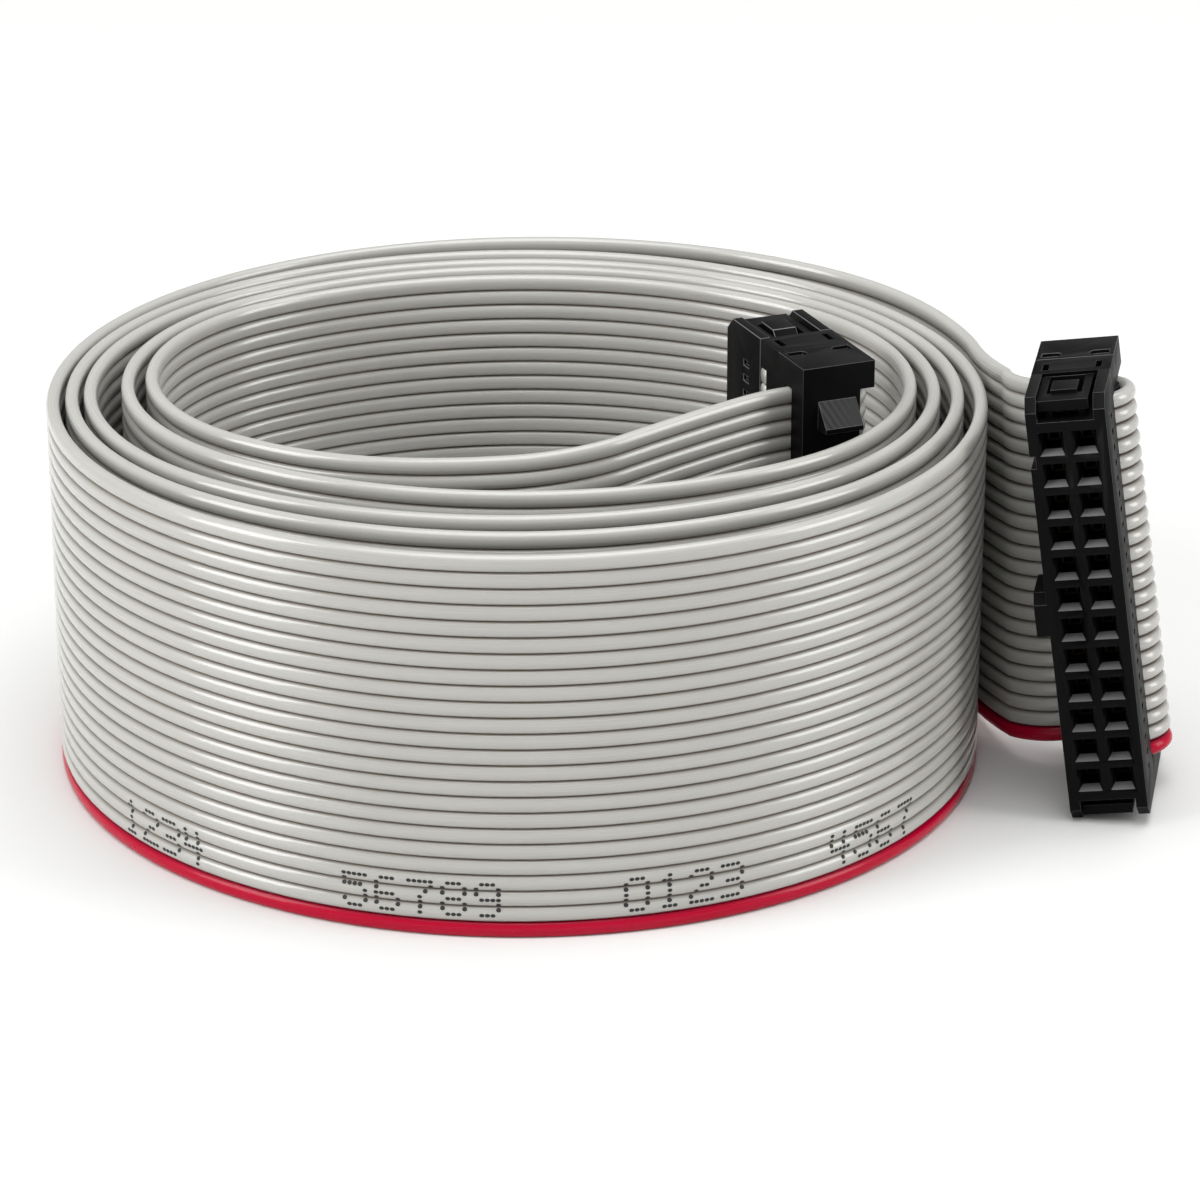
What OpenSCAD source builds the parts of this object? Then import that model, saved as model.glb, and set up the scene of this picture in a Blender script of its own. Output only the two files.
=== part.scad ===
/* [Ribbon] */
// Number of insulated conductors side by side
ways = 24; // [10:2:40]
// Distance between the centres of neighbouring conductors
wire_pitch = 1.27; // [1.2:0.01:1.4]
// Thickness of the ribbon across a conductor
wire_d = 1.1; // [0.9:0.05:1.15]
// Thickness of the web between two conductors
web_t = 0.6; // [0.4:0.05:0.8]

/* [Sockets] */
// Width of a socket across its two rows
socket_w = 6.1; // [5.8:0.1:7]
// Length of a socket beyond the ribbon's edge, at each end
end_margin = 2.275; // [2.2:0.025:3]
// Height of the socket body, from the mating face to the ribbon
body_h = 6.3; // [6:0.1:8]
// Height of the cover that presses the ribbon on to the contacts
cover_h = 3.5; // [3:0.1:4.5]
// Height of the strain relief bar
relief_h = 2.1; // [1.6:0.1:3]
// Side of a contact opening at the mating face
mouth_w = 1.9; // [1.6:0.05:2.1]
// Side of the hole behind the opening's lead-in
hole_w = 1.3; // [1.2:0.05:1.4]
// Depth of the lead-in
mouth_h = 0.9; // [0.3:0.05:1.1]
// Depth of the contacts behind the mating face
contact_y = 2.4; // [1.2:0.1:2.4]
// Chamfer at the ends of the mating face
end_chamfer = 1.0; // [0.5:0.1:1.4]
// Width of the polarising key along the socket
key_w = 3.4; // [3:0.1:4.5]
// Height of the polarising key over the side of the body
key_t = 1.0; // [0.8:0.1:1.3]
// Length of the polarising key, from the mating face
key_h = 4.6; // [3.5:0.1:5.5]
// Chamfer on the key's leading edge
key_chamfer = 0.8; // [0.4:0.1:1]
// Width of a latch arm
arm_w = 3.9; // [3.2:0.1:4]
// Thickness of a latch arm
arm_t = 0.8; // [0.7:0.05:0.9]

/* [Contacts] */
// Outside width of a contact's spring box
box_w = 1.1; // [1:0.05:1.15]
// Thickness of the contact's sheet metal
metal_t = 0.2; // [0.15:0.01:0.25]
// Width of the slot that grips the wire
slot_w = 0.3; // [0.25:0.01:0.35]

/* [Standing] */
// Lean of the outer socket to the left
outer_lean = 8.2; // [0:0.1:12]
// Heading of the ribbon as it enters the outer socket
outer_heading = -10.5; // [-20:0.5:0]
// Heading of the ribbon as it enters the inner socket
inner_heading = 22.6; // [15:0.1:30]

/* [Hidden] */

grey = "gainsboro";
red = "crimson";
black = [0.09, 0.09, 0.09];
brass = [0.80, 0.70, 0.45];
eps = 0.01;
// Play between the moulded pieces and what they hold
play = 0.05;
// How far the section of the clamped ribbon keeps inside the free ribbon's, and how far it runs into it
seam = 0.01;
splice = 0.5;

ribbon_w = ways * wire_pitch;
row_pitch = 2 * wire_pitch;
rows = ways / 2;
socket_l = ribbon_w + 2 * end_margin;

// Depths below the mating face, along a socket's own y
low_leg = body_h + play + wire_d / 2;
cover_y = low_leg + wire_d / 2 + play;
high_leg = cover_y + cover_h + play + wire_d / 2;
relief_y = high_leg + wire_d / 2 + play;
socket_h = relief_y + relief_h;
loop_r = (high_leg - low_leg) / 2;
// Centre of the bend that takes the ribbon round the cover's edge
loop_x = socket_w - 1.5;
// Depth of the joint between the cover's ends and the strain relief's
relief_foot = cover_y + cover_h * 0.62;

// Across the socket: the two rows of contacts, and the places that belong to each conductor
row_x = [socket_w / 2 - row_pitch / 2, socket_w / 2 + row_pitch / 2];
function wire_z(k) = end_margin + (k + 0.5) * wire_pitch;
function row_z(i) = end_margin + (i + 0.5) * row_pitch;

// The route in plan, from the inner socket to the outer one: each move is [radius, turn],
// a turn to the left being positive, and a radius of 0 makes the second value a straight length.
// The turns of the coil are ovals: flatter arcs at the front and back, tighter ones at the sides.
blend = atan(3 / 4);
flat_turn = 2 * blend;
side_turn = 180 - flat_turn;
flat_r = [36, 36, 36, 37, 37.5, 37.5, 37.5, 37, 38.9];
side_r = [20, 23, 24.5, 27.5, 28.5, 30.5, 32, 34.9, 37];
route = concat(
  [[15, 36.87 - inner_heading], [0, 11.8], [14, -blend], [35.5, -blend]],
  [for (i = [0:len(side_r) - 1]) for (m = [[side_r[i], -side_turn], [flat_r[i], -flat_turn]]) m],
  [[30.4, -(83.8 - blend)], [46, 13.7], [5, 70.1 + outer_heading]]
);
start = [21.58, -5.77];
step_deg = 7.5;
step_l = 3;

function move_length(m) = m[0] == 0 ? m[1] : m[0] * abs(m[1]) * PI / 180;
function move_steps(m) = m[0] == 0 ? ceil(m[1] / step_l) : ceil(abs(m[1]) / step_deg);
function turned(m) = m[0] == 0 ? 0 : m[1];
// One step along a move from [x, y, heading, distance run]
function advance(p, m, n) =
  let (a = turned(m) / n, l = move_length(m) / n, chord = a == 0 ? l : 2 * m[0] * sin(abs(a) / 2))
  [p[0] + chord * cos(p[2] + a / 2), p[1] + chord * sin(p[2] + a / 2), p[2] + a, p[3] + l];
steps = [for (m = route) let (n = move_steps(m)) for (i = [1:n]) [m, n]];
plan = [for (i = 0, p = [start[0], start[1], 180 + inner_heading, 0]; i <= len(steps);
  p = i < len(steps) ? advance(p, steps[i][0], steps[i][1]) : p, i = i + 1) p];
run = plan[len(plan) - 1][3];

// The ribbon's lower edge rises at both ends, because a socket is longer than the ribbon is wide
inner_climb = 45;
outer_climb = 25;
outer_rise = socket_l / 2 * cos(outer_lean) - ribbon_w / 2;
function rise(s) =
  s < inner_climb ? end_margin * (1 - smooth(s / inner_climb)) :
  s > run - outer_climb ? let (t = (s - run + outer_climb) / outer_climb)
    outer_rise * smooth(t) + tan(outer_lean) * outer_climb * (t * t * t - t * t) : 0;
function smooth(t) = t * t * (3 - 2 * t);
function climb(s) = atan((rise(min(s + 0.1, run)) - rise(max(s - 0.1, 0))) / (min(s + 0.1, run) - max(s - 0.1, 0)));

// Frames as [origin, along the ribbon, across it]
function heading(a, c) = [cos(a) * cos(c), sin(a) * cos(c), sin(c)];
function across(a, c) = [-cos(a) * sin(c), -sin(a) * sin(c), cos(c)];
function ring_climb(i) = i == 0 ? 0 : i == len(plan) - 1 ? outer_lean : climb(plan[i][3]);
coil = [for (i = [0:len(plan) - 1]) let (p = plan[i], c = ring_climb(i))
  [[p[0], p[1], ribbon_w / 2 + rise(p[3])], heading(p[2], c), across(p[2], c)]];

// The part's origin is the middle of its footprint: points on the outline of the ribbon, of the outer
// socket's two rows and of its loops of ribbon show how far that is from the coil's own centre
coil_end = coil[len(coil) - 1];
function end_point(x, y, z) =
  coil_end[0] + x * coil_end[1] + (y - high_leg) * cross(coil_end[2], coil_end[1]) + z * coil_end[2];
outline = concat(
  [for (r = coil) for (s = [-1, 1]) r[0] + s * wire_d / 2 * cross(r[2], r[1])],
  [for (x = [0, socket_w]) for (y = [0, socket_h]) for (s = [-1, 1]) end_point(x, y, s * socket_l / 2)],
  [for (a = [0:15:345]) for (s = [-1, 1])
    end_point(loop_x + (loop_r + wire_d / 2) * cos(a), low_leg + loop_r + (loop_r + wire_d / 2) * sin(a),
      s * ribbon_w / 2)]
);
function middle(k) = (min([for (p = outline) p[k]]) + max([for (p = outline) p[k]])) / 2;
footprint_centre = [middle(0), middle(1), 0];
rings = [for (r = coil) [r[0] - footprint_centre, r[1], r[2]]];
last = rings[len(rings) - 1];

// A strip of the free ribbon, between two heights measured from its middle
module strip(low, high, t) {
  n = len(rings);
  points = [for (r = rings) let (side = cross(r[2], r[1]))
    for (q = [[-t / 2, low], [t / 2, low], [t / 2, high], [-t / 2, high]]) r[0] + q[0] * side + q[1] * r[2]];
  walls = [for (i = [0:n - 2]) for (j = [0:3])
    let (a = 4 * i + j, b = 4 * i + (j + 1) % 4) each [[a, a + 4, b + 4], [a, b + 4, b]]];
  polyhedron(concat(points), concat([[0, 1, 2], [0, 2, 3]], walls,
    [[4 * n - 1, 4 * n - 2, 4 * n - 3], [4 * n - 1, 4 * n - 3, 4 * n - 4]]));
}

// Places a socket's own space: x across its rows, y away from the mating face, z along its length
module at_outer() {
  x = last[1];
  z = last[2];
  y = cross(z, x);
  o = last[0] - z * socket_l / 2 - y * high_leg;
  multmatrix([[x[0], y[0], z[0], o[0]], [x[1], y[1], z[1], o[1]], [x[2], y[2], z[2], o[2]], [0, 0, 0, 1]])
    children();
}
module at_inner() {
  x = heading(inner_heading, 0);
  z = [0, 0, -1];
  y = cross(z, x);
  o = rings[0][0] - z * socket_l / 2 - y * high_leg;
  multmatrix([[x[0], y[0], z[0], o[0]], [x[1], y[1], z[1], o[1]], [x[2], y[2], z[2], o[2]], [0, 0, 0, 1]])
    children();
}

// Section of some conductors: x is the thickness, y runs along the socket
module wires_section(first, count) {
  for (k = [first:first + count - 1])
    translate([0, wire_z(k)]) circle(d = wire_d, $fn = 32);
  translate([-web_t / 2, wire_z(first) - wire_pitch / 2 + seam]) square([web_t, count * wire_pitch - 2 * seam]);
}

// The ribbon inside a socket: in under the strain relief, round the cover's edge and back on to the contacts
module clamped(first, count) {
  translate([-splice, high_leg, 0]) rotate([90, 0, 90]) linear_extrude(loop_x + splice) wires_section(first, count);
  translate([play, low_leg, 0]) rotate([90, 0, 90]) linear_extrude(loop_x - play) wires_section(first, count);
  translate([loop_x, (high_leg + low_leg) / 2, 0])
    rotate([0, 0, -90]) rotate_extrude(angle = 180, $fn = 48) translate([loop_r, 0]) wires_section(first, count);
}

module grey_ribbon() {
  color(grey) difference() {
    union() {
      strip(-ribbon_w / 2 + wire_pitch, ribbon_w / 2, wire_d - 2 * seam);
      at_outer() clamped(1, ways - 1);
      at_inner() clamped(0, ways - 1);
    }
    at_outer() tines(eps);
    at_inner() tines(eps);
  }
}

module red_edge_wire() {
  color(red) difference() {
    union() {
      strip(-ribbon_w / 2, -ribbon_w / 2 + wire_pitch, wire_d - 2 * seam);
      at_outer() clamped(0, 1);
      at_inner() clamped(ways - 1, 1);
    }
    at_outer() tines(eps);
    at_inner() tines(eps);
  }
}

// Contacts: a spring box in the hole, a shank, and a fork whose tines straddle the wire
tine_top = cover_y + 0.6;
function fork_z(i, row) = row_z(i) + (row == 0 ? -1 : 1) * wire_pitch / 2;
module tines(grow) {
  tine_w = (wire_pitch - 0.25 - slot_w) / 2;
  for (i = [0:rows - 1]) for (row = [0, 1]) for (s = [-1, 1])
    translate([row_x[row] - metal_t / 2 - grow, body_h, fork_z(i, row) + s * (slot_w + tine_w) / 2 - tine_w / 2 - grow])
      cube([metal_t + 2 * grow, tine_top - body_h + grow, tine_w + 2 * grow]);
}
box_h = 2.8;
shank_foot = 0.6;
module shank(i, row, grow) {
  wide = wire_pitch - 0.25;
  low = min(row_z(i), fork_z(i, row)) - wide / 2;
  translate([row_x[row] - metal_t / 2 - grow, contact_y + box_h - eps, low - grow])
    cube([metal_t + 2 * grow, body_h - contact_y - box_h - shank_foot + eps, wire_pitch / 2 + wide + 2 * grow]);
  translate([row_x[row] - metal_t / 2 - grow, body_h - shank_foot - eps, fork_z(i, row) - wide / 2 - grow])
    cube([metal_t + 2 * grow, shank_foot + eps, wide + 2 * grow]);
}
module contacts() {
  for (i = [0:rows - 1]) for (row = [0, 1]) {
    difference() {
      translate([row_x[row] - box_w / 2, contact_y, row_z(i) - box_w / 2]) cube([box_w, box_h, box_w]);
      translate([row_x[row] - box_w / 2 + metal_t, contact_y - eps, row_z(i) - box_w / 2 + metal_t])
        cube([box_w - 2 * metal_t, box_h - metal_t, box_w - 2 * metal_t]);
    }
    shank(i, row, 0);
  }
  tines(0);
}

// The four-sided funnel that leads a pin into its hole
module funnel_side() {
  a = mouth_w / 2;
  b = hole_w / 2;
  linear_extrude(mouth_w + 1, center = true) polygon([[-a, -eps], [a, -eps], [b, mouth_h], [-b, mouth_h]]);
}
module mouth(x, z) {
  translate([x, 0, z]) intersection() {
    funnel_side();
    rotate([0, 90, 0]) funnel_side();
  }
}

// What both ends of a socket share: drawn at the low end, and mirrored to the other
module both_ends() {
  children();
  translate([0, 0, socket_l]) mirror([0, 0, 1]) children();
}

// The latch: an arm of the cover lies in a pocket of the body, and its window snaps over a ramped lug
recess_d = 1.8;
arm_z = 0.3;
arm_x = 0.9;
arm_gap = 0.4;
arm_tip = 0.7;
lug_y = 2.4;
lug_h = 3.2;
lug_flat = 2.2;
lug_w = arm_w - 1.9;
lug_top = 0.05;
window_play = 0.7;
// Small windows along both sides of the body, one for each contact
side_window = [0.3, 1.0, 0.5];
side_window_y = 3.2;

module socket_body() {
  middle_z = socket_l / 2;
  color(black) difference() {
    union() {
      cube([socket_w, body_h, socket_l]);
      translate([-key_t, 0, middle_z]) rotate([90, 0, 90]) linear_extrude(key_t + eps)
        polygon([[0, -key_w / 2], [key_h, -key_w / 2], [key_h, key_w / 2], [key_chamfer, key_w / 2],
          [0, key_w / 2 - key_chamfer]]);
    }
    for (i = [0:rows - 1]) for (row = [0, 1]) {
      mouth(row_x[row], row_z(i));
      translate([row_x[row] - hole_w / 2, mouth_h - eps, row_z(i) - hole_w / 2])
        cube([hole_w, contact_y + box_h + 0.1 - mouth_h, hole_w]);
      shank(i, row, play);
    }
    both_ends() {
      end_recess();
      translate([-eps, 0, 0]) rotate([90, 0, 90])
        linear_extrude(socket_w + 2 * eps) polygon([[-eps, -eps], [end_chamfer, -eps], [-eps, end_chamfer]]);
    }
    for (k = [0:ways - 1]) {
      translate([socket_w - side_window[0], side_window_y, wire_z(k) - side_window[2] / 2])
        cube(side_window + [eps, 0, 0]);
      if (abs(wire_z(k) - middle_z) > key_w / 2 + side_window[2])
        translate([-eps, side_window_y, wire_z(k) - side_window[2] / 2]) cube(side_window + [eps, 0, 0]);
    }
    // The notch beside the second row of openings
    translate([-eps, -eps, row_z(rows - 2) + wire_pitch / 2]) cube([0.45 + eps, body_h + 2 * eps, 1.0]);
  }
}
module end_recess() {
  difference() {
    translate([arm_x - play, -eps, -eps]) cube([arm_w + play + arm_gap, body_h + 2 * eps, recess_d + eps]);
    translate([arm_x + (arm_w - lug_w) / 2, 0, 0]) rotate([90, 0, 90]) linear_extrude(lug_w)
      polygon([[lug_y, recess_d + 1], [lug_y, lug_top], [lug_y + lug_flat, lug_top],
        [lug_y + lug_h, arm_z + arm_t], [lug_y + lug_h, recess_d + 1]]);
  }
}

end_slot = [0.5, 1.5, 0.8];
end_slot_x = 0.75;
module cover() {
  color(black) difference() {
    union() {
      translate([0, cover_y, end_margin + play]) cube([loop_x, cover_h, ribbon_w - 2 * play]);
      translate([loop_x, cover_y + cover_h / 2, end_margin + play]) cylinder(d = cover_h, h = ribbon_w - 2 * play);
      both_ends() {
        translate([0, body_h + play, 0]) cube([socket_w, relief_foot - body_h - play, end_margin]);
        translate([0, cover_y, 0]) cube([loop_x, relief_foot - cover_y, end_margin + 2 * play]);
        translate([arm_x, arm_tip, arm_z]) cube([arm_w, cover_y - arm_tip + eps, arm_t]);
      }
    }
    tines(play);
    both_ends() {
      translate([arm_x + (arm_w - lug_w - window_play) / 2, lug_y - play, -eps])
        cube([lug_w + window_play, body_h + play - lug_y, arm_z + arm_t + 2 * eps]);
      for (x = [end_slot_x, socket_w - end_slot_x - end_slot[0]])
        translate([x, body_h + 0.8, -eps]) cube(end_slot + [0, 0, eps]);
    }
  }
}

tab_w = 3.2;
tab_t = 1.5;
// Shallow hooked recesses in the ends of the strain relief
hook_d = 0.9;
hook_l = 1.1;
hook_depth = 0.3;
module strain_relief() {
  color(black) difference() {
    union() {
      translate([0, relief_y, 0]) cube([loop_x + 0.3, relief_h, socket_l]);
      both_ends() {
        translate([0, relief_foot + play, 0]) cube([socket_w, socket_h - relief_foot - play, end_margin - play]);
        translate([1.3, socket_h, 0]) rotate([90, 0, 90]) linear_extrude(tab_w)
          polygon([[-0.1, 2.8], [0, 2.8], [tab_t, 4.6], [tab_t, 5.0], [-0.1, 5.0]]);
      }
    }
    both_ends() for (right = [0, 1])
      translate([right * socket_w, relief_foot + play + 0.5, -eps]) mirror([right, 0, 0]) {
        translate([0.4, 0, 0]) cube([hook_l, hook_d, hook_depth + eps]);
        translate([0.4 + hook_l, hook_d / 2, 0]) cylinder(d = hook_d, h = hook_depth + eps, $fn = 24);
      }
  }
}

module outer_socket_body() { at_outer() socket_body(); }
module outer_cover() { at_outer() cover(); }
module outer_strain_relief() { at_outer() strain_relief(); }
module outer_contacts() { color(brass) at_outer() contacts(); }
module inner_socket_body() { at_inner() socket_body(); }
module inner_cover() { at_inner() cover(); }
module inner_strain_relief() { at_inner() strain_relief(); }
module inner_contacts() { color(brass) at_inner() contacts(); }

grey_ribbon();
red_edge_wire();
outer_socket_body();
outer_cover();
outer_strain_relief();
outer_contacts();
inner_socket_body();
inner_cover();
inner_strain_relief();
inner_contacts();
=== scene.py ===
import bisect
import math
import bmesh
import bpy
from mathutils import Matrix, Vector


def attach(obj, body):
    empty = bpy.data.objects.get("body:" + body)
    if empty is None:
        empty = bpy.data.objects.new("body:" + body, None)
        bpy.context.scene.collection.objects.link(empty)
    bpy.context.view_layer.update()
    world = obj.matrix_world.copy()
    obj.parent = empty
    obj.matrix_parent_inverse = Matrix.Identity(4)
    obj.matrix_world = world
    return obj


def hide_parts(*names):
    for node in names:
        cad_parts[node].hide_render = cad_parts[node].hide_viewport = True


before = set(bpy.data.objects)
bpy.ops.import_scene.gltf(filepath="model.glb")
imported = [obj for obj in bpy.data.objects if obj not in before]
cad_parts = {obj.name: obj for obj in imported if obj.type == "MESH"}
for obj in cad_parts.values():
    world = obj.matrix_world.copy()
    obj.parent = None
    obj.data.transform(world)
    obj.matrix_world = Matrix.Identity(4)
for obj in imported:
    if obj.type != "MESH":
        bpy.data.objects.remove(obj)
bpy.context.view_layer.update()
mm = 0.001


def hexColor(code, alpha=1.0):
    # sRGB hex to linear
    parts = [int(code[i:i + 2], 16) / 255 for i in (0, 2, 4)]
    return [c / 12.92 if c <= 0.04045 else ((c + 0.055) / 1.055) ** 2.4 for c in parts] + [alpha]


# Camera: the photograph's angle and distance
view = {
    "place": (-1.50, -347.67, 154.34),  # mm
    "down": 22.30,  # degrees below level
    "right": 0.086,  # degrees off straight ahead
    "lens": 139.5,
}
camera = bpy.data.objects.new("camera", bpy.data.cameras.new("camera"))
bpy.context.collection.objects.link(camera)
camera.data.lens = view["lens"]
camera.data.sensor_width = 36
camera.data.clip_start = 0.01
camera.data.clip_end = 10
camera.location = Vector(view["place"]) * mm
camera.rotation_euler = (math.radians(90 - view["down"]), 0, -math.radians(view["right"]))
bpy.context.scene.camera = camera

# The ribbon and its route, lengths in mm and turns in degrees, as part.scad has them
ribbon = {
    "ways": 24,
    "pitch": 1.27,
    "thick": 1.1,
    "ridge": 1.31,  # a ridge overlaps its neighbours a little, which leaves the web between them
    "square": 2.35,  # 2 is a round ridge, more is flatter
    "loopThick": 1.2,  # bent round the cover, the conductors stand apart as round cords
    "loopRidge": 1.26,
    "loopSquare": 2.0,
    "dirtAndShadeFrom": 0.4,  # from a conductor's middle
    "dirtAndShadeReach": 0.24,
    "sides": 16,
    "turnStep": 3.0,
    "loopStep": 12.0,
    "legSteps": 3,
    "lengthStep": 1.5,
    "blendSlope": 3 / 4,  # slope of the line on which a flat arc meets a side arc
    "innerBend": 15,  # radii of the inner tail
    "innerStraight": 11.8,
    "innerBack": 14,
    "firstFlat": 35.5,
    "flats": [36, 36, 36, 37, 37.5, 37.5, 37.5, 37, 38.9],  # radii of the coil's front and back
    "sideArcs": [20, 23, 24.5, 27.5, 28.5, 30.5, 32, 34.9, 37],  # and of its sides, turn by turn
    "outerBend": (30.4, 83.8),  # radius and turn of each bend of the outer tail
    "outerBack": (46, 13.7),
    "outerHook": (5, 70.1),
    "start": (21.58, -5.77),
    "footprint": (7.95466, 1.9518),
    "innerHeading": 22.6,
    "outerHeading": -10.5,
    "outerLean": 8.2,
    "innerClimb": 45.0,
    "outerClimb": 25.0,
}
socket = {
    "endMargin": 2.275,
    "lowLeg": 6.9,
    "highLeg": 11.6,
    "loopX": 4.6,
    "play": 0.05,
}
ribbonWidth = ribbon["ways"] * ribbon["pitch"]
socketLength = ribbonWidth + 2 * socket["endMargin"]
loopRadius = (socket["highLeg"] - socket["lowLeg"]) / 2


def coilMoves():
    # each move is a radius and a turn, left turns positive; with a radius of 0 it is a straight length
    blend = math.degrees(math.atan(ribbon["blendSlope"]))
    moves = [(ribbon["innerBend"], blend - ribbon["innerHeading"]), (0, ribbon["innerStraight"]),
             (ribbon["innerBack"], -blend), (ribbon["firstFlat"], -blend)]
    for side, flat in zip(ribbon["sideArcs"], ribbon["flats"]):
        moves += [(side, 2 * blend - 180), (flat, -2 * blend)]
    (bend, bendTurn), (hook, hookTurn) = ribbon["outerBend"], ribbon["outerHook"]
    return moves + [(bend, blend - bendTurn), ribbon["outerBack"], (hook, hookTurn + ribbon["outerHeading"])]


def coilPlan():
    # points in plan, each with its heading and the distance run so far
    plan = [(ribbon["start"][0], ribbon["start"][1], 180 + ribbon["innerHeading"], 0.0)]
    for radius, value in coilMoves():
        turn = value if radius else 0
        length = radius * math.radians(abs(turn)) if radius else value
        count = math.ceil(abs(turn) / ribbon["turnStep"] if radius else length / ribbon["lengthStep"])
        for _ in range(count):
            x, y, heading, done = plan[-1]
            half = math.radians(abs(turn) / count / 2)
            chord = 2 * radius * math.sin(half) if radius else length / count
            way = math.radians(heading + turn / count / 2)
            plan.append((x + chord * math.cos(way), y + chord * math.sin(way),
                         heading + turn / count, done + length / count))
    return plan


def smoothStep(t):
    return t * t * (3 - 2 * t)


def ribbonRise(done, run):
    # the sockets are longer than the ribbon is wide, so its lower edge leaves the floor at both ends
    lean = math.radians(ribbon["outerLean"])
    if done < ribbon["innerClimb"]:
        return socket["endMargin"] * (1 - smoothStep(done / ribbon["innerClimb"]))
    if done > run - ribbon["outerClimb"]:
        t = (done - run + ribbon["outerClimb"]) / ribbon["outerClimb"]
        top = socketLength / 2 * math.cos(lean) - ribbonWidth / 2
        return top * smoothStep(t) + math.tan(lean) * ribbon["outerClimb"] * (t ** 3 - t * t)
    return 0.0


def ribbonFrames():
    # the ribbon's middle line: at each point the way along it and the way across it
    plan = coilPlan()
    run = plan[-1][3]
    frames = []
    for i, (x, y, heading, done) in enumerate(plan):
        low, high = max(done - 0.1, 0), min(done + 0.1, run)
        climb = math.atan((ribbonRise(high, run) - ribbonRise(low, run)) / (high - low))
        climb = {0: 0.0, len(plan) - 1: math.radians(ribbon["outerLean"])}.get(i, climb)
        turn = math.radians(heading)
        point = Vector((x - ribbon["footprint"][0], y - ribbon["footprint"][1],
                        ribbonWidth / 2 + ribbonRise(done, run)))
        along = Vector((math.cos(turn) * math.cos(climb), math.sin(turn) * math.cos(climb), math.sin(climb)))
        across = Vector((-math.cos(turn) * math.sin(climb), -math.sin(turn) * math.sin(climb), math.cos(climb)))
        frames.append((point, along, across))
    return frames


def socketSpace(entry, inner):
    # a socket's own directions at the ribbon's entry: across the rows, away from the mating face
    _, along, across = entry
    x = -along if inner else along
    z = -across if inner else across
    return x, z.cross(x)


def clampedFrames(entry, inner):
    # in under the strain relief, round the cover's edge and back on to the contacts
    point, along, across = entry
    x, y = socketSpace(entry, inner)
    legSteps = ribbon["legSteps"]
    frames = []
    for part in range(1, legSteps + 1):
        frames.append((point + x * socket["loopX"] * part / legSteps, along, across))
    count = round(180 / ribbon["loopStep"])
    for i in range(1, count + 1):
        a = math.radians(180 * i / count)
        spot = point + x * (socket["loopX"] + loopRadius * math.sin(a)) - y * loopRadius * (1 - math.cos(a))
        way = x * math.cos(a) - y * math.sin(a)
        frames.append((spot, -way if inner else way, across))
    for part in range(1, legSteps + 1):
        left = socket["loopX"] + (socket["play"] - socket["loopX"]) * part / legSteps
        spot = point + x * left - y * 2 * loopRadius
        frames.append((spot, x if inner else -x, across))
    return frames


freeRun = ribbonFrames()
innerEnd = clampedFrames(freeRun[0], True)
outerEnd = clampedFrames(freeRun[-1], False)
wholeRun = innerEnd[::-1] + freeRun + outerEnd


def wireOffset(k):
    return -ribbonWidth / 2 + (k + 0.5) * ribbon["pitch"]


def ridgeOutline(thick, ridge, square):
    # one conductor's section: x is the ribbon's thickness, y runs across it
    power = 2 / square
    outline = []
    for i in range(ribbon["sides"]):
        a = 2 * math.pi * (i + 0.5) / ribbon["sides"]
        c, s = math.cos(a), math.sin(a)
        outline.append((math.copysign(abs(c) ** power, c) * thick / 2,
                        math.copysign(abs(s) ** power, s) * ridge / 2))
    return outline


def makePiece(name, bm, material=None, smooth=True):
    mesh = bpy.data.meshes.new(name)
    bm.to_mesh(mesh)
    bm.free()
    piece = bpy.data.objects.new(name, mesh)
    bpy.context.collection.objects.link(piece)
    if material:
        mesh.materials.append(material)
    for face in mesh.polygons:
        face.use_smooth = smooth
    return piece


def dirtAndShadeAt(k, offset):
    # the valleys are darkened, partly as dirt and partly as painted shade, and the ribbon's two outer edges have
    # none
    if (k == 0 and offset < 0) or (k == ribbon["ways"] - 1 and offset > 0):
        return 0.0
    return max(0.0, (abs(offset) - ribbon["dirtAndShadeFrom"]) / ribbon["dirtAndShadeReach"]) ** 2


def conductorMesh(k, frames):
    bm = bmesh.new()
    runLayer = bm.loops.layers.uv.new("run")
    # this second map carries the darkening of the valleys: partly dirt, partly painted shade
    dirtAndShadeLayer = bm.loops.layers.uv.new("dust")
    flat = ridgeOutline(ribbon["thick"], ribbon["ridge"], ribbon["square"])
    looped = ridgeOutline(ribbon["loopThick"], ribbon["loopRidge"], ribbon["loopSquare"])
    sides = ribbon["sides"]
    legs = ribbon["legSteps"] + 1
    loops = set(range(legs, len(innerEnd) - legs))
    loops |= set(range(len(frames) - len(outerEnd) + legs, len(frames) - legs))
    rings = []
    lengths = [0.0]
    path = [point + across * wireOffset(k) for point, along, across in frames]
    for a, b in zip(path, path[1:]):
        lengths.append(lengths[-1] + (b - a).length)
    for i, ((point, along, across), centre) in enumerate(zip(frames, path)):
        side = across.cross(along)
        outline = looped if i in loops else flat
        rings.append([bm.verts.new((centre + side * x + across * y) * mm) for x, y in outline])
    for i in range(len(rings) - 1):
        for j in range(sides):
            n = (j + 1) % sides
            face = bm.faces.new((rings[i][j], rings[i][n], rings[i + 1][n], rings[i + 1][j]))
            spots = ((lengths[i], j), (lengths[i], j + 1), (lengths[i + 1], j + 1), (lengths[i + 1], j))
            for loop, (u, v) in zip(face.loops, spots):
                loop[runLayer].uv = (u / 10, v / sides + k)
                loop[dirtAndShadeLayer].uv = (dirtAndShadeAt(k, flat[v % sides][1]), 0)
    bm.faces.new(rings[0][::-1])
    bm.faces.new(rings[-1])
    bmesh.ops.recalc_face_normals(bm, faces=bm.faces)
    return bm, [p * mm for p in path], lengths[-1] * mm


conductors = []
centreLines = []
for k in range(ribbon["ways"]):
    bm, path, length = conductorMesh(k, wholeRun)
    conductors.append(makePiece("red_conductor" if k == 0 else f"grey_conductor_{k + 1:02d}", bm))
    centreLines.append((path, length))
print("ribbon: 24 conductors of %.3f m" % length)


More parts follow.
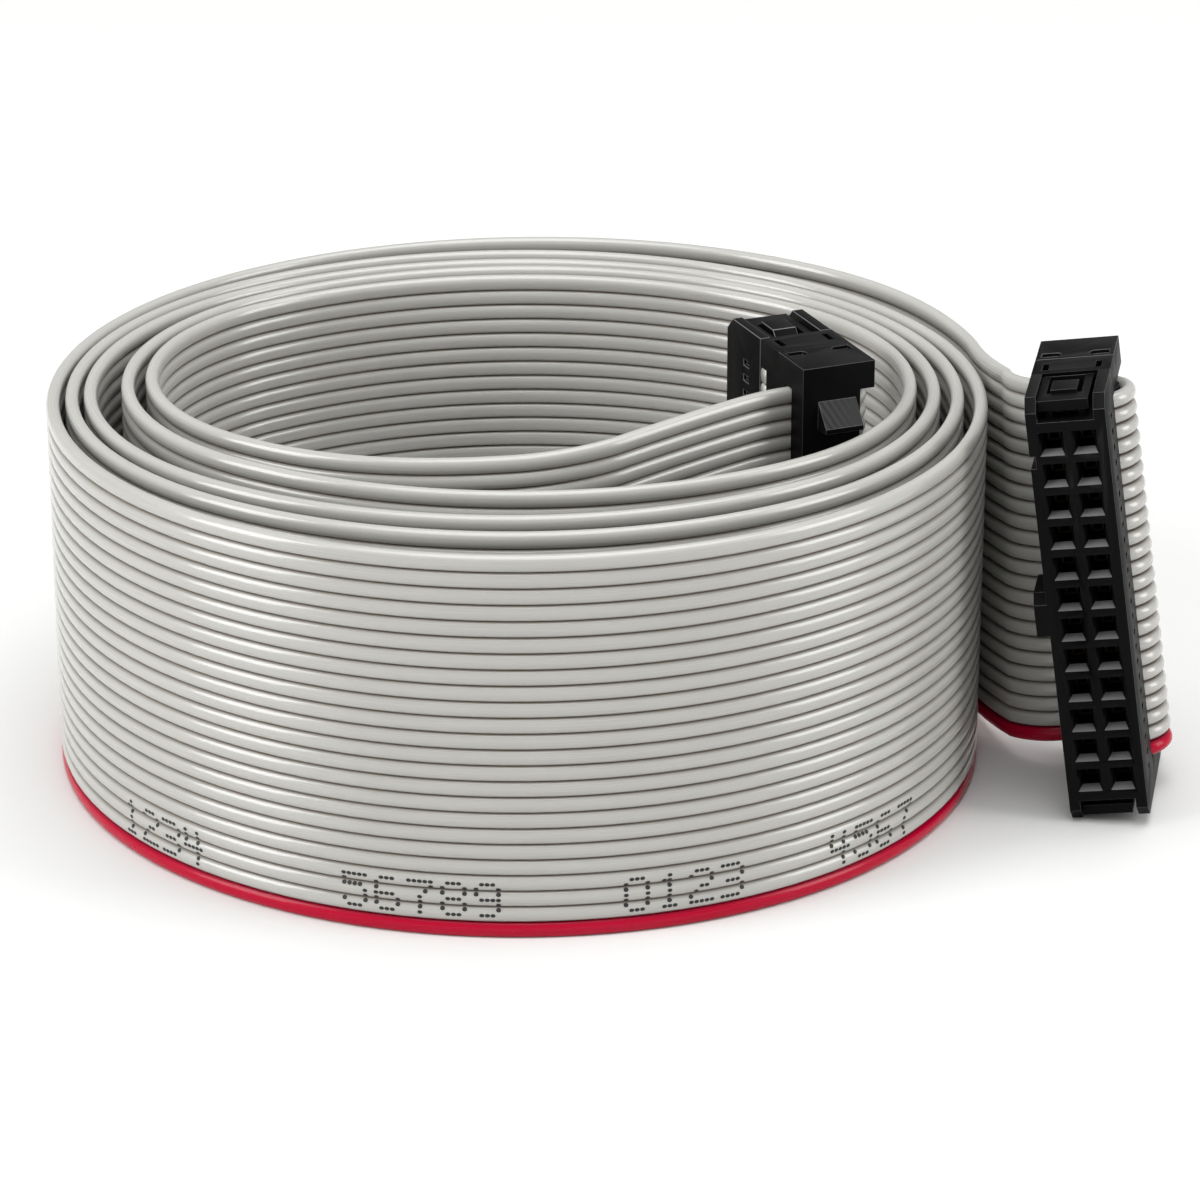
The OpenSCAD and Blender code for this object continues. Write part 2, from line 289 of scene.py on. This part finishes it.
# Materials
def addNode(tree, kind, settings=None, feeds=None, **links):
    # settings are values for the node itself or its sockets; feeds and links name a socket and its source
    node = tree.nodes.new(kind)
    for name, value in (settings or {}).items():
        if isinstance(name, int) or name in node.inputs:
            node.inputs[name].default_value = value
        else:
            setattr(node, name, value)
    for name, source in {**(feeds or {}), **links}.items():
        tree.links.new(source, node.inputs[name])
    return node


def mixColor(tree, amount, first, second):
    # a colour is a list, or another node's output
    node = addNode(tree, "ShaderNodeMix", {"data_type": "RGBA"}, {0: amount})
    for i, color in ((6, first), (7, second)):
        if isinstance(color, list):
            node.inputs[i].default_value = color
        else:
            tree.links.new(color, node.inputs[i])
    return node


def newMaterial(name, settings):
    material = bpy.data.materials.new(name)
    material.use_nodes = True
    tree = material.node_tree
    shader = tree.nodes["Principled BSDF"]
    for socketName, value in settings.items():
        shader.inputs[socketName].default_value = value
    return material, tree, shader


def jacketPvc(name, base, worn, valley, mirror):
    # flexible PVC, extruded: a satin skin with faint draw lines along each conductor, slight clouding
    # of the colour, and the thin webs between the conductors darkened, partly as dirt and partly as painted shade
    material, tree, shader = newMaterial(name, {
        "Roughness": 0.3, "IOR": 1.53, "Specular IOR Level": mirror, "Subsurface Weight": 0.08,
        "Subsurface Scale": 0.0005, "Subsurface Radius": (1.0, 0.85, 0.7),
        "Coat Weight": mirror, "Coat Roughness": 0.07})
    places = addNode(tree, "ShaderNodeTexCoord")
    runMap = addNode(tree, "ShaderNodeUVMap", {"uv_map": "run"})
    cloud = addNode(tree, "ShaderNodeTexNoise", {"Scale": 90.0, "Detail": 3.0}, Vector=places.outputs["Object"])
    tint = mixColor(tree, cloud.outputs["Fac"], hexColor(base), hexColor(worn))
    dirtAndShadeMap = addNode(tree, "ShaderNodeUVMap", {"uv_map": "dust"})
    amount = addNode(tree, "ShaderNodeSeparateXYZ", Vector=dirtAndShadeMap.outputs["UV"])
    # the valleys are mixed towards the dark valley colour: partly dirt, partly painted shade
    dust = mixColor(tree, amount.outputs["X"], tint.outputs[2], hexColor(valley))
    tree.links.new(dust.outputs[2], shader.inputs["Base Color"])
    stretch = addNode(tree, "ShaderNodeMapping", {"Scale": (0.35, 24.0, 1.0)}, Vector=runMap.outputs["UV"])
    draw = addNode(tree, "ShaderNodeTexNoise", {"Scale": 3.0, "Detail": 2.0}, Vector=stretch.outputs["Vector"])
    gloss = addNode(tree, "ShaderNodeMapRange", {"To Min": 0.17, "To Max": 0.34}, Value=draw.outputs["Fac"])
    tree.links.new(gloss.outputs["Result"], shader.inputs["Roughness"])
    grain = addNode(tree, "ShaderNodeBump", {"Strength": 0.18, "Distance": 0.00004}, Height=draw.outputs["Fac"])
    tree.links.new(grain.outputs["Normal"], shader.inputs["Normal"])
    return material


greyPvc = jacketPvc("extruded grey PVC", "A4A39E", "AEADA9", "6B6054", 0.5)
redPvc = jacketPvc("extruded red PVC", "A40026", "AE032E", "5E031B", 0.12)


def mouldedPlastic(name, dark, pale, smooth, rough, mirror, grainDepth):
    # glass-filled black polyester from a spark-eroded mould: near-black with a fine matt grain of 0.1 mm,
    # and faint flow clouds in its gloss
    material, tree, shader = newMaterial(name, {"IOR": 1.5, "Specular IOR Level": mirror})
    places = addNode(tree, "ShaderNodeTexCoord")
    grain = addNode(tree, "ShaderNodeTexNoise", {"Scale": 9000.0, "Detail": 2.0}, Vector=places.outputs["Object"])
    flow = addNode(tree, "ShaderNodeTexNoise", {"Scale": 260.0, "Detail": 4.0}, Vector=places.outputs["Object"])
    tint = mixColor(tree, flow.outputs["Fac"], hexColor(dark), hexColor(pale))
    tree.links.new(tint.outputs[2], shader.inputs["Base Color"])
    gloss = addNode(tree, "ShaderNodeMapRange", {"To Min": smooth, "To Max": rough}, Value=flow.outputs["Fac"])
    tree.links.new(gloss.outputs["Result"], shader.inputs["Roughness"])
    bump = addNode(tree, "ShaderNodeBump", {"Strength": grainDepth, "Distance": 0.00003},
                   Height=grain.outputs["Fac"])
    tree.links.new(bump.outputs["Normal"], shader.inputs["Normal"])
    return material


def scoreLines(material, spacing, depth):
    # fine straight lines across the moulding, cut in the mould
    tree = material.node_tree
    shader = tree.nodes["Principled BSDF"]
    places = addNode(tree, "ShaderNodeTexCoord")
    turned = addNode(tree, "ShaderNodeMapping", {"Rotation": (0.5, 0.6, 0.7)}, Vector=places.outputs["Object"])
    lines = addNode(tree, "ShaderNodeTexWave", {"Scale": 1 / spacing / 3.2}, Vector=turned.outputs["Vector"])
    cut = addNode(tree, "ShaderNodeBump", {"Strength": 0.6, "Distance": depth}, Height=lines.outputs["Fac"])
    tree.links.new(cut.outputs["Normal"], shader.inputs["Normal"])


def bronzeInPaintedShade():
    # phosphor bronze strip, stamped and plated, painted near-black brown in place of dull gold: painted shade for
    # the deep openings
    material, tree, shader = newMaterial("plated phosphor bronze", {
        "Base Color": hexColor("221D14"), "Metallic": 1.0, "Roughness": 0.45})
    places = addNode(tree, "ShaderNodeTexCoord")
    rolled = addNode(tree, "ShaderNodeTexNoise", {"Scale": 1500.0, "Detail": 3.0}, Vector=places.outputs["Object"])
    gloss = addNode(tree, "ShaderNodeMapRange", {"To Min": 0.3, "To Max": 0.5}, Value=rolled.outputs["Fac"])
    tree.links.new(gloss.outputs["Result"], shader.inputs["Roughness"])
    return material


blackPlastic = mouldedPlastic("moulded black polyester", "050506", "0A0A0B", 0.38, 0.58, 0.07, 0.25)
# the rounded edges are painted paler, as thin painted highlight lines
paintedEdgeHighlight = mouldedPlastic("black edges with painted highlight", "505051", "606061", 0.25, 0.35, 0.6, 0.05)
# the thumb tab's ramp is scored for grip, and is a paler near-black than the rest of the moulding
scoredGrip = mouldedPlastic("scored black grip", "131314", "202021", 0.45, 0.6, 0.35, 0.2)
scoreLines(scoredGrip, 0.00025, 0.00005)
# the lead-ins come from polished mould pins, and the lower ones, which face up and catch the light, are painted
# mid-grey as a painted highlight
leadIn = mouldedPlastic("lead-ins with painted highlight", "6A6A6A", "7C7C7C", 0.25, 0.35, 0.5, 0.05)
contactMetal = bronzeInPaintedShade()
for nodeName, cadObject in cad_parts.items():
    if nodeName.endswith("contacts"):
        for place in cadObject.material_slots:
            place.material = contactMetal

# Mouldings: each CAD solid again, with the small radii that a moulding's edges have
moulding = {
    "radius": 0.07,  # mm
    "segments": 2,
    "sharp": 25.0,  # degrees
    "leadIn": 0.316,  # a lead-in's normal along the mating direction
    "tabRamp": 0.768,  # and the tab's ramp's
    "near": 0.02,  # how close a normal has to be to these
    "merge": 0.004,  # mm
    "flat": 1.0,  # degrees
}
mouldedNodes = [end + "_" + name for end in ("outer", "inner")
                for name in ("socket_body", "cover", "strain_relief")]
for nodeName in mouldedNodes:
    mating = socketSpace(freeRun[0], True) if nodeName.startswith("inner") else socketSpace(freeRun[-1], False)
    bm = bmesh.new()
    bm.from_mesh(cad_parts[nodeName].data)
    bmesh.ops.remove_doubles(bm, verts=bm.verts, dist=moulding["merge"] * mm)
    bmesh.ops.dissolve_limit(bm, angle_limit=math.radians(moulding["flat"]), verts=bm.verts, edges=bm.edges)
    for face in bm.faces:
        slope = face.normal.dot(mating[1])
        # upward-facing lead-in faces take the painted highlight finish, and the tab's ramp takes the grip finish
        if (nodeName.endswith("body") and face.normal.z > 0.8
                and abs(slope + moulding["leadIn"]) < moulding["near"]):
            face.material_index = 2
        if nodeName.endswith("relief") and abs(slope - moulding["tabRamp"]) < moulding["near"]:
            face.material_index = 3
    # the openings' edges stay sharp and carry no painted edge highlight, apart from the lower ones
    weights = bm.edges.layers.float.new("bevel_weight_edge")
    for edge in bm.edges:
        slopes = sorted(face.normal.dot(mating[1]) for face in edge.link_faces)
        opening = (abs(slopes[0] + 1) < moulding["near"]
                   and abs(slopes[-1] + moulding["leadIn"]) < moulding["near"])
        lower = any(face.material_index == 2 for face in edge.link_faces)
        isSharp = edge.calc_face_angle(0) > math.radians(moulding["sharp"])
        edge[weights] = 1.0 if isSharp and (lower or not opening) else 0.0
        edge.smooth = not isSharp or edge[weights] > 0
    piece = makePiece("moulded_" + nodeName, bm, blackPlastic)
    for finish in (paintedEdgeHighlight, leadIn, scoredGrip):
        piece.data.materials.append(finish)
    rounding = piece.modifiers.new("rounding", "BEVEL")
    rounding.width = moulding["radius"] * mm
    rounding.segments = moulding["segments"]
    rounding.limit_method = "WEIGHT"
    rounding.use_clamp_overlap = True
    rounding.harden_normals = True
    # the rounded faces take the paler finish: a painted edge highlight
    rounding.material = 1
    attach(piece, "root")
    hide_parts(nodeName)
print("mouldings:", len(mouldedNodes))

# Each conductor gets its PVC and rides on the root: it leaves the outer socket and ends in the inner one
for k, (piece, (path, length)) in enumerate(zip(conductors, centreLines)):
    piece.data.materials.append(redPvc if k == 0 else greyPvc)
    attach(piece, "root")
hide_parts("red_edge_wire")
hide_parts("grey_ribbon")

# Marks: running digits in dots of ink on the outermost turn, low on its front
marks = {
    "groups": (("1234", -37.1), ("56789", -19.9), ("0123", 0.8), ("4567", 16.2)),  # place along x, mm
    "foot": 1.905,  # height of the lowest dots, mm, which keeps every row out of the valleys
    "columnStep": 0.41,
    "rowStep": 1.27 / 3,
    "digitStep": 2.5,
    "dot": (0.19, 0.15),  # half its length and half its height
    "lift": 0.012,
    "way": -1,  # the run goes from right to left along the front
}
digitRows = {  # seven rows of five dots, each row a binary number
    "0": (14, 17, 17, 17, 17, 17, 14), "1": (4, 12, 4, 4, 4, 4, 14), "2": (14, 17, 1, 6, 8, 16, 31),
    "3": (30, 1, 1, 14, 1, 1, 30), "4": (18, 18, 18, 31, 2, 2, 2), "5": (31, 16, 30, 1, 1, 17, 14),
    "6": (14, 16, 16, 30, 17, 17, 14), "7": (31, 1, 2, 4, 4, 4, 4), "8": (14, 17, 17, 14, 17, 17, 14),
    "9": (14, 17, 17, 15, 1, 1, 14),
}


def ridgeHeight(offset):
    # how far the ribbon's skin stands from its middle, at an offset across it
    place = (offset + ribbonWidth / 2) / ribbon["pitch"] - 0.5
    away = abs(place - round(place)) * ribbon["pitch"] / (ribbon["ridge"] / 2)
    return ribbon["thick"] / 2 * (1 - away ** ribbon["square"]) ** (1 / ribbon["square"])


def skinPoint(run, offset, lift):
    i = max(0, min(len(runLengths) - 2, bisect.bisect(runLengths, run) - 1))
    t = (run - runLengths[i]) / (runLengths[i + 1] - runLengths[i])
    (p, along, across), (q, nextAlong, nextAcross) = freeRun[i], freeRun[i + 1]
    up = across.lerp(nextAcross, t).normalized()
    side = up.cross(along.lerp(nextAlong, t)).normalized()
    return p.lerp(q, t) + up * offset + side * (ridgeHeight(offset) + lift)


runLengths = [0.0]
for (p, _, _), (q, _, _) in zip(freeRun, freeRun[1:]):
    runLengths.append(runLengths[-1] + (q - p).length)


def runAt(x):
    # how far along the ribbon its last crossing of that x on the near side is
    i = max(i for i in range(len(freeRun) - 1)
            if freeRun[i][0].y < 0 and (freeRun[i][0].x - x) * (freeRun[i + 1][0].x - x) <= 0)
    a, b = freeRun[i][0].x, freeRun[i + 1][0].x
    return runLengths[i] + (x - a) / (b - a) * (runLengths[i + 1] - runLengths[i])


bm = bmesh.new()
for text, leftX in marks["groups"]:
    startRun = runAt(leftX)
    for place, digit in enumerate(text):
        for row, bits in enumerate(digitRows[digit]):
            for column in range(5):
                if not bits >> (4 - column) & 1:
                    continue
                x = place * marks["digitStep"] + column * marks["columnStep"]
                y = marks["foot"] + (6 - row) * marks["rowStep"] - ribbonWidth / 2
                dot = bmesh.ops.create_circle(bm, cap_ends=True, cap_tris=True, segments=10, radius=1)
                for v in dot["verts"]:
                    along = startRun + marks["way"] * (x + v.co.x * marks["dot"][0])
                    v.co = skinPoint(along, y + v.co.y * marks["dot"][1], marks["lift"]) * mm
bmesh.ops.recalc_face_normals(bm, faces=bm.faces)
ink, inkTree, inkShader = newMaterial("black marking ink", {
    "Base Color": hexColor("1C1B1A"), "Roughness": 0.6})
inkPlaces = addNode(inkTree, "ShaderNodeTexCoord")
inkCloud = addNode(inkTree, "ShaderNodeTexNoise", {"Scale": 2500.0}, Vector=inkPlaces.outputs["Object"])
inkGloss = addNode(inkTree, "ShaderNodeMapRange", {"To Min": 0.45, "To Max": 0.75}, Value=inkCloud.outputs["Fac"])
inkTree.links.new(inkGloss.outputs["Result"], inkShader.inputs["Roughness"])
inkMarks = makePiece("digit_marks", bm, ink)
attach(inkMarks, "root")
print("marks: %d digits" % sum(len(text) for text, _ in marks["groups"]))

# Floor and light
studio = {
    "floor": 6.0,  # m
    "floorColor": "D8D8D7",
    "world": 0.49,
    "softboxes": (  # place and size in m, the height of the spot it points at, and its power in W
        ("top", (0.05, -0.04, 0.9), (1.0, 0.7), 0.01, 7.2),
        ("front", (0, -0.45, 0.75), (0.6, 0.35), 0.01, 0.3),
        ("left", (-0.66, -0.26, 0.35), (0.35, 0.6), 0.015, 4.6),
        ("right", (0.69, -0.18, 0.3), (0.3, 0.5), 0.015, 2.9),
    ),
}
bm = bmesh.new()
bmesh.ops.create_grid(bm, x_segments=1, y_segments=1, size=studio["floor"] / 2)
floorMaterial, floorTree, floorShader = newMaterial("white sweep paper", {
    "Base Color": hexColor(studio["floorColor"]), "Roughness": 0.9, "Specular IOR Level": 0.1})
floor = makePiece("floor", bm, floorMaterial)
world = bpy.data.worlds.new("studio")
world.use_nodes = True
world.node_tree.nodes["Background"].inputs["Color"].default_value = (1, 1, 1, 1)
world.node_tree.nodes["Background"].inputs["Strength"].default_value = studio["world"]
bpy.context.scene.world = world
bpy.context.scene.view_settings.view_transform = "Standard"


def softbox(name, place, size, aim, power):
    light = bpy.data.lights.new(name + " softbox", "AREA")
    light.shape = "RECTANGLE"
    light.size, light.size_y = size
    light.energy = power
    lamp = bpy.data.objects.new(name + " softbox", light)
    bpy.context.collection.objects.link(lamp)
    lamp.location = place
    lamp.rotation_euler = (Vector((0, 0, aim)) - Vector(place)).to_track_quat("-Z", "Y").to_euler()


for name, place, size, aim, power in studio["softboxes"]:
    softbox(name, place, size, aim, power)
print("light: %d softboxes" % len(studio["softboxes"]))
